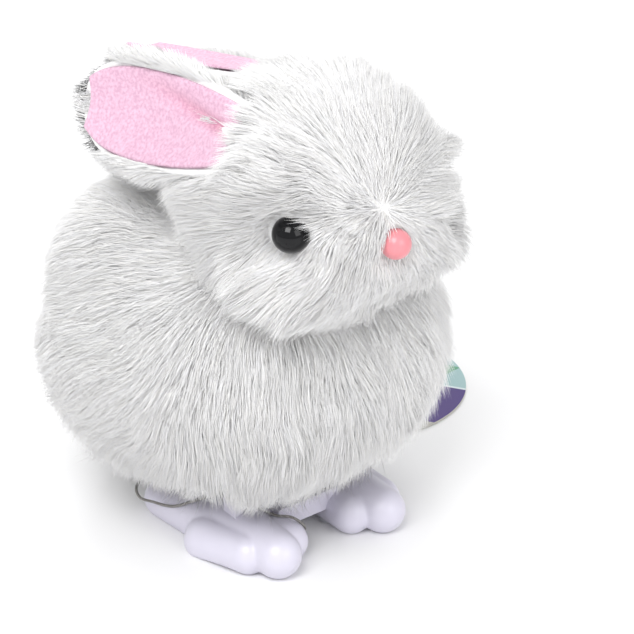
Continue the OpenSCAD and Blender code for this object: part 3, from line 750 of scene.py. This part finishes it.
def ear_point(spec, u, v, off, wide=1.0):
    """A place on an ear: u from root to tip, v across from -1 to 1, off out of the lined side."""
    root, run, w, n = ear_axes(spec, u)
    swell = spec["root_w"] + (1 - spec["root_w"]) * np.sin(np.pi / 2 * np.clip(u / 0.55, 0, 1))
    taper = np.sqrt(np.clip(1 - np.clip((u - 0.55) / 0.45, 0, 1) ** 2.4, 0, 1))
    half = EAR_HALF * swell * taper * wide
    cup = (1.4 + 3.2 * np.sin(np.pi * u)) * MM * (v * wide) ** 2 * np.where(v > 0, spec["near_cup"], 1)
    cup = cup - 2 * MM * np.sin(np.pi * u)
    depth = spec["crease"] * MM * np.clip(1 - u / 0.6, 0, 1) ** 0.7
    off_line = v * wide - crease_line(u)
    fold = -depth * np.exp(-(off_line / 0.13) ** 2) + 0.6 * depth * np.exp(-((off_line + 0.32) / 0.26) ** 2)
    return root + run * u[..., None] + w * (half * v)[..., None] + n * (cup + fold + off)[..., None]


def ear_sheet(name, spec, material, front, back, wide, end, nu=64, nv=41):
    """A closed cupped leaf between two offsets."""
    u, v = np.meshgrid(np.linspace(0, 1, nu), np.linspace(-1, 1, nv), indexing="ij")
    u = end * (1 - (1 - u) ** 1.4)
    rounding = np.sqrt(np.clip(1 - np.abs(v) ** 8, 0, 1)) * np.sqrt(np.clip(1 - u ** 12, 0, 1))
    top = ear_point(spec, u, v, back + (front - back) * rounding, wide)
    bottom = ear_point(spec, u, v, np.full_like(u, back), wide)
    verts = np.concatenate([top.reshape(-1, 3), bottom.reshape(-1, 3)])
    faces = []
    size = nu * nv
    for i in range(nu - 1):
        for j in range(nv - 1):
            a = i * nv + j
            faces.append((a, a + 1, a + nv + 1, a + nv))
            faces.append((size + a, size + a + nv, size + a + nv + 1, size + a + 1))
    edge = [i * nv for i in range(nu)] + [(nu - 1) * nv + j for j in range(1, nv)]
    edge += [i * nv + nv - 1 for i in range(nu - 2, -1, -1)] + [j for j in range(nv - 2, 0, -1)]
    for a, b in zip(edge, edge[1:] + edge[:1]):
        faces.append((a, b, size + b, size + a))
    mesh = bpy.data.meshes.new(name)
    mesh.from_pydata([tuple(p) for p in verts], [], faces)
    # Painted shade: the lining's colour is darkened along the crease line, where shade falls in the fold.
    deep = spec["crease"] / DEEPEST_CREASE * np.exp(-((v * wide - crease_line(u)) / 0.15) ** 2)
    deep = deep * np.clip(1.15 - u / 0.6, 0, 1)
    painted_crease_shade = np.ones((2 * size, 4))
    painted_crease_shade[:size, :3] -= deep.reshape(-1, 1) * np.array([0.1, 0.34, 0.3])
    mesh.color_attributes.new("fold", "FLOAT_COLOR", "POINT").data.foreach_set("color", painted_crease_shade.reshape(-1))
    bm = bmesh.new()
    bm.from_mesh(mesh)
    bpy.data.meshes.remove(mesh)
    bmesh.ops.remove_doubles(bm, verts=bm.verts, dist=0.02 * MM)
    bmesh.ops.recalc_face_normals(bm, faces=bm.faces)
    return from_bmesh(name, bm, material)


def make_ear(side, m):
    spec = EARS[side]
    rng = np.random.default_rng(SEED + 10 + spec["side"])
    back = ear_sheet("ear_cloth_" + side, spec, m["skin"], -0.2 * MM, -2.6 * MM, 1.0, 1.0)
    lining = ear_sheet("ear_velour_" + side, spec, m["velour"], 1.0 * MM, 0.05 * MM, 0.82, 0.93)
    ride_as(back, "rabbit", "fur", "ear_" + side)
    ride_as(lining, "rabbit", "ear_velour", "ear_lining_" + side)
    root, run, w, n = ear_axes(spec, np.array(0.5))
    size = run @ run

    def keep(p, no):
        q = p - root
        rim = (np.abs(q @ w) > 0.8 * EAR_HALF) | (q @ run > 0.92 * size)
        if spec["near_cup"] < 1:
            rim &= q @ w < 0
        outside = (((p - HEAD_C) / vec(24, 22, 21)) ** 2).sum(1) > 1
        return ((no @ n < -0.2) | rim) * outside.astype(float)

    def flow(p, no):
        q = p - root
        return unit(run) + np.outer(np.clip(q @ w / EAR_HALF, -1, 1) * 0.55, w) - n * 0.15

    roots, normals = scatter(back, many(17000), rng, keep)
    strands("fur_ear_" + side, roots, normals, flow, rng, m["fur"], lambda p: np.full(len(p), 4.6) * MM,
            lift=(0.8, 0.4), clump_count=many(2600), clear=[clear_of_ear(side)])


# ---------------------------------------------------------------- feet

FOOT_LOBES = [
    ((-17.8, -24.8, 3.7), 4.3, (-18.6, -13, 1.8), 5.6),
    ((-14.1, -30, 4.4), 4.9, (-13.5, -13, 4.4), 6.2),
    ((-8.6, -26.2, 3.8), 4.3, (-10.6, -13, 3.4), 5.2),
    ((-15, -11, 3.6), 6.0, (-17, 5, 3.2), 4.6),
]
LUG_X = 12.7
LUG_W = 3.8
LUG_R = 2.6
POST_MID_Z = 9.5
POST_H = 9


def add_lobe(bm, lobe, sign):
    part = bmesh.new()
    for centre, r in (lobe[:2], lobe[2:]):
        place = vec(*centre) * (-sign, 1, 1)
        bmesh.ops.create_uvsphere(part, u_segments=48, v_segments=28, radius=r * MM,
                                  matrix=Matrix.Translation(place))
    hull = bmesh.ops.convex_hull(part, input=part.verts)
    inner = [g for g in hull["geom_interior"] if isinstance(g, bmesh.types.BMVert)]
    bmesh.ops.delete(part, geom=inner, context="VERTS")
    mesh = bpy.data.meshes.new("lobe")
    part.to_mesh(mesh)
    part.free()
    bm.from_mesh(mesh)
    bpy.data.meshes.remove(mesh)


def make_foot(side, m):
    sign = -1 if side == "right" else 1
    bm = bmesh.new()
    for lobe in FOOT_LOBES:
        add_lobe(bm, lobe, sign)
    for v in bm.verts:
        v.co.z = max(v.co.z, 0)
    x = LUG_X * sign
    turn = Matrix.Translation((x * MM, *HOP_YZ)) @ Matrix.Rotation(math.pi / 2, 4, "Y")
    bmesh.ops.create_cone(bm, cap_ends=True, segments=48, radius1=LUG_R * MM, radius2=LUG_R * MM,
                          depth=LUG_W * MM, matrix=turn)
    middle = (x * MM, HOP_YZ[0], POST_MID_Z * MM)
    post = Matrix.Diagonal((LUG_W * MM, 2 * LUG_R * MM, POST_H * MM, 1))
    bmesh.ops.create_cube(bm, size=1, matrix=Matrix.Translation(middle) @ post)
    foot = from_bmesh("foot_%s_moulding" % side, bm, m["feet"])
    apply_modifier(foot, "REMESH", mode="VOXEL", voxel_size=0.35 * MM)
    apply_modifier(foot, "SMOOTH", factor=0.5, iterations=5)
    co = np.empty(len(foot.data.vertices) * 3)
    foot.data.vertices.foreach_get("co", co)
    co[2::3] = np.maximum(co[2::3], 0)
    foot.data.vertices.foreach_set("co", co)
    foot.data.polygons.foreach_set("use_smooth", [True] * len(foot.data.polygons))
    ride_as(foot, "feet", "satin_white", "foot_" + side)


# ---------------------------------------------------------------- elastic and tag

ROUTE = [
    (30, 10.6, 1.6), (28, 9.3, 1.5), (26, 8.4, 0.6), (23.5, 8.8, 0.4), (20, 10.4, 0.4),
    (15, 11, 0.4), (9, 10.4, 0.4), (4, 7, 0.4), (1, 0, 0.4), (-0.5, -8, 0.4), (-1.4, -15, 0.6),
    (-1.9, -20, 1.4), (-2.8, -24.2, 3), (-4.1, -26, 5.7), (-6.7, -25.2, 8.3), (-9.4, -22.6, 8.7),
    (-11.9, -18.6, 10.4), (-13.2, -14.2, 11.1), (-15.8, -10.6, 10.3), (-19, -7.4, 8.6),
    (-20.8, -4.2, 6.7), (-21.4, -1, 5.6), (-22.8, 1.4, 5.9), (-24.6, 3.4, 6.6), (-24, 5.8, 7.6),
    (-21.2, 8, 7.8), (-17.4, 10.4, 6.4), (-14.4, 13, 2.8), (-10, 14.8, 0.5), (-4, 15.4, 0.4),
    (6, 15.4, 0.4), (16, 14.6, 0.4), (22, 13.4, 0.4), (24.6, 12.8, 0.7), (26.4, 12.3, 1.4),
    (28.2, 11.9, 1.6), (30, 11.5, 1.6)]
ELASTIC_D = 0.6 * MM


def smooth_route(points, steps):
    """The same smooth way between the route's points as the CAD tube takes."""
    p = [np.array(q) * MM for q in points]
    way = []
    for i in range(len(p) - 1):
        a, b, c, d = p[max(i - 1, 0)], p[i], p[i + 1], p[min(i + 2, len(p) - 1)]
        for k in range(steps):
            t = k / steps
            way.append(0.5 * (2 * b + (c - a) * t + (2 * a - 5 * b + 4 * c - d) * t * t
                              + (3 * b - a - 3 * c + d) * t ** 3))
    way.append(p[-1])
    return np.array(way)


def make_elastic(m):
    way = smooth_route(ROUTE, 4)
    curve = bpy.data.curves.new("elastic_thread", "CURVE")
    curve.dimensions = "3D"
    curve.bevel_depth = ELASTIC_D / 2
    curve.bevel_resolution = 3
    curve.use_fill_caps = True
    line = curve.splines.new("POLY")
    line.points.add(len(way) - 1)
    for point, place in zip(line.points, way):
        point.co = (*place, 1)
    curve.materials.append(m["elastic"])
    thread = bpy.data.objects.new("elastic_thread", curve)
    bpy.context.collection.objects.link(thread)
    ride_as(thread, "feet", "elastic_grey", "tag_elastic")
    card = make_tag(m)


TAG_C = vec(51, 24, 0)
TAG_R = 27.5 * MM
TAG_T = 0.6 * MM
TAG_HOLE = vec(30.5, 11.1, 0)
TAG_HOLE_R = 1.6 * MM
BAND_WAY = (0.867, 0.498)
BAND = (44.3 * MM, 62.1 * MM)
EDGE_LINE = 0.8 * MM
LEAF = [(76.4, 13), (74.1, 18.5), (67.1, 12.1)]
CARD_LOOKS = ("card_teal", "card_green", "card_pale", "card_purple", "card_grey")
TEAL, GREEN, PALE, PURPLE, GREY = range(5)


def loop_of(bm, centre, radius, count, z):
    """Edges of a circle."""
    ring = []
    for k in range(count):
        angle = 2 * math.pi * k / count
        x = centre[0] + radius * math.cos(angle)
        y = centre[1] + radius * math.sin(angle)
        ring.append(bm.verts.new((x, y, z)))
    return [bm.edges.new((ring[k], ring[(k + 1) % count])) for k in range(count)]


def make_tag(m):
    """Round printed card: flat areas of colour, with no lettering or mark."""
    bm = bmesh.new()
    edges = loop_of(bm, TAG_C, TAG_R, 120, TAG_T) + loop_of(bm, TAG_HOLE, TAG_HOLE_R, 32, TAG_T)
    bmesh.ops.triangle_fill(bm, edges=edges, use_beauty=True)
    bmesh.ops.recalc_face_normals(bm, faces=bm.faces)
    under = bmesh.ops.extrude_face_region(bm, geom=bm.faces[:])
    for g in under["geom"]:
        if isinstance(g, bmesh.types.BMVert):
            g.co.z = 0
    bmesh.ops.recalc_face_normals(bm, faces=bm.faces)
    along = Vector((*BAND_WAY, 0))
    cuts = [(along * s, along) for s in (*BAND, BAND[1] + EDGE_LINE)]
    for a, b in zip(LEAF, LEAF[1:] + LEAF[:1]):
        way = Vector((b[1] - a[1], a[0] - b[0], 0)).normalized()
        cuts.append((Vector(vec(*a, 0)), way))
    for place, way in cuts:
        bmesh.ops.bisect_plane(bm, geom=bm.verts[:] + bm.edges[:] + bm.faces[:], plane_co=place, plane_no=way)
    for face in bm.faces:
        c = face.calc_center_median()
        s = c.dot(along)
        inside = all((c - place).dot(way) < 0 for place, way in cuts[3:])
        if face.normal.z < 0.5 or s < BAND[0]:
            face.material_index = GREY
        elif s < BAND[1]:
            face.material_index = PURPLE
        elif s < BAND[1] + EDGE_LINE:
            face.material_index = PALE
        else:
            face.material_index = GREEN if inside else TEAL
    look = [m[k] for k in CARD_LOOKS]
    return ride_as(from_bmesh("tag_card_print", bm, look, smooth=False), "feet", "tag_card", "swing_tag")


# ---------------------------------------------------------------- stage

LAMPS = [("key", (-0.55, -0.3, 0.8), 6.2), ("front", (0.1, -0.8, 0.45), 2.0), ("back", (0.3, 0.6, 0.8), 3)]
LAMP_SIZE = 0.5
SKY_POWER = 0.76


def make_stage():
    bm = bmesh.new()
    bmesh.ops.create_grid(bm, x_segments=1, y_segments=1, size=3)
    floor = from_bmesh("floor", bm, shader("floor_pale", (0.86, 0.86, 0.865), 0.7))
    world = bpy.data.worlds.new("studio")
    world.use_nodes = True
    world.node_tree.nodes["Background"].inputs["Color"].default_value = (1, 1, 1, 1)
    world.node_tree.nodes["Background"].inputs["Strength"].default_value = SKY_POWER
    bpy.context.scene.world = world
    for name, place, power in LAMPS:
        lamp = bpy.data.lights.new(name, "AREA")
        lamp.size = LAMP_SIZE
        lamp.energy = power
        holder = bpy.data.objects.new(name, lamp)
        holder.location = place
        holder.rotation_euler = (Vector((0, 0, 0.05)) - holder.location).to_track_quat("-Z", "Y").to_euler()
        bpy.context.collection.objects.link(holder)
    bpy.context.scene.view_settings.view_transform = "Standard"


set_camera()
looks = make_materials()
make_elastic(looks)
fur_head(make_head(looks), looks)
fur_body(make_body(looks), looks)
make_tail(looks)
make_ear("right", looks)
make_ear("left", looks)
make_foot("right", looks)
make_foot("left", looks)
paint_nodes(looks)
make_stage()
